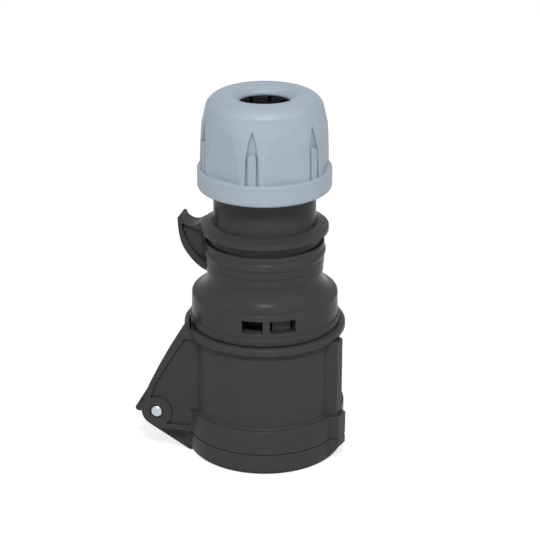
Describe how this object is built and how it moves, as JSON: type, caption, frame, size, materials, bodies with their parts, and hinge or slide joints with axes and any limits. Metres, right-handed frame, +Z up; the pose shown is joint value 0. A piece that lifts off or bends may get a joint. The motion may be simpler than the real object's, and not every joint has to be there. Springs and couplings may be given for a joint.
{
  "type": "in-line power socket",
  "caption": "Round in-line power socket with a sprung hinged lid over its contacts, a bayonet rear housing with finger hook and a turning cable gland nut.",
  "frame": {"origin": "centre of the closed lid's face that the socket stands on", "axes": "+Z up the common axis from the lid to the cable gland, -X to the lid's hinge, +X to the side that the lid opens on, the hinge pin along Y"},
  "size_m": [0.0738, 0.056, 0.1286],
  "materials": {
    "housing": "satin moulded",
    "basket": "moulded",
    "carrier": "moulded",
    "nut": "fine matt moulded",
    "rubber": "moulded",
    "steel": "bright drawn",
    "spring_steel": "drawn wire",
    "brass": "turned"
  },
  "bodies": {
    "front": {"front_housing": "housing", "contact_carrier": "carrier", "terminal_block": "carrier", "housing_seal": "rubber", "hinge_pin": "steel", "lid_spring": "spring_steel", "contact_sleeve_earth": "brass", "sleeve_ring_earth": "spring_steel", "terminal_screw_earth": "steel", "contact_sleeve_line": "brass", "sleeve_ring_line": "spring_steel", "terminal_screw_line": "steel", "contact_sleeve_neutral": "brass", "sleeve_ring_neutral": "spring_steel", "terminal_screw_neutral": "steel"},
    "lid": {"lid": "housing", "lid_gasket": "rubber"},
    "rear": {"rear_housing": "housing", "gland_seal": "rubber"},
    "basket": {"clamp_basket": "basket"},
    "nut": {"gland_nut": "nut"}
  },
  "joints": [
    {"name": "lid_hinge", "type": "hinge", "parent": "front", "child": "lid", "pos_m": [-0.0353, 0, 0.0154], "axis": [0, 1, 0], "range_deg": [0, 110], "stiffness_Nm_per_rad": 0.03, "springref_deg": -85.94, "deforming": ["lid_spring"]},
    {"name": "housing_twist", "type": "hinge", "parent": "front", "child": "rear", "pos_m": [0, 0, 0.05], "axis": [0, 0, 1], "range_deg": [0, 23.7]},
    {"name": "basket_slide", "type": "slide", "parent": "rear", "child": "basket", "axis": [0, 0, 1], "range_m": [-0.0041, 0.0061]},
    {"name": "nut_turn", "type": "hinge", "parent": "basket", "child": "nut", "pos_m": [0, 0, 0.1], "axis": [0, 0, 1], "range_deg": [-480, 720]}
  ],
  "couplings": [
    {"joint": "basket_slide", "follows": "nut_turn", "m_per_rad": 0.00047746}
  ]
}
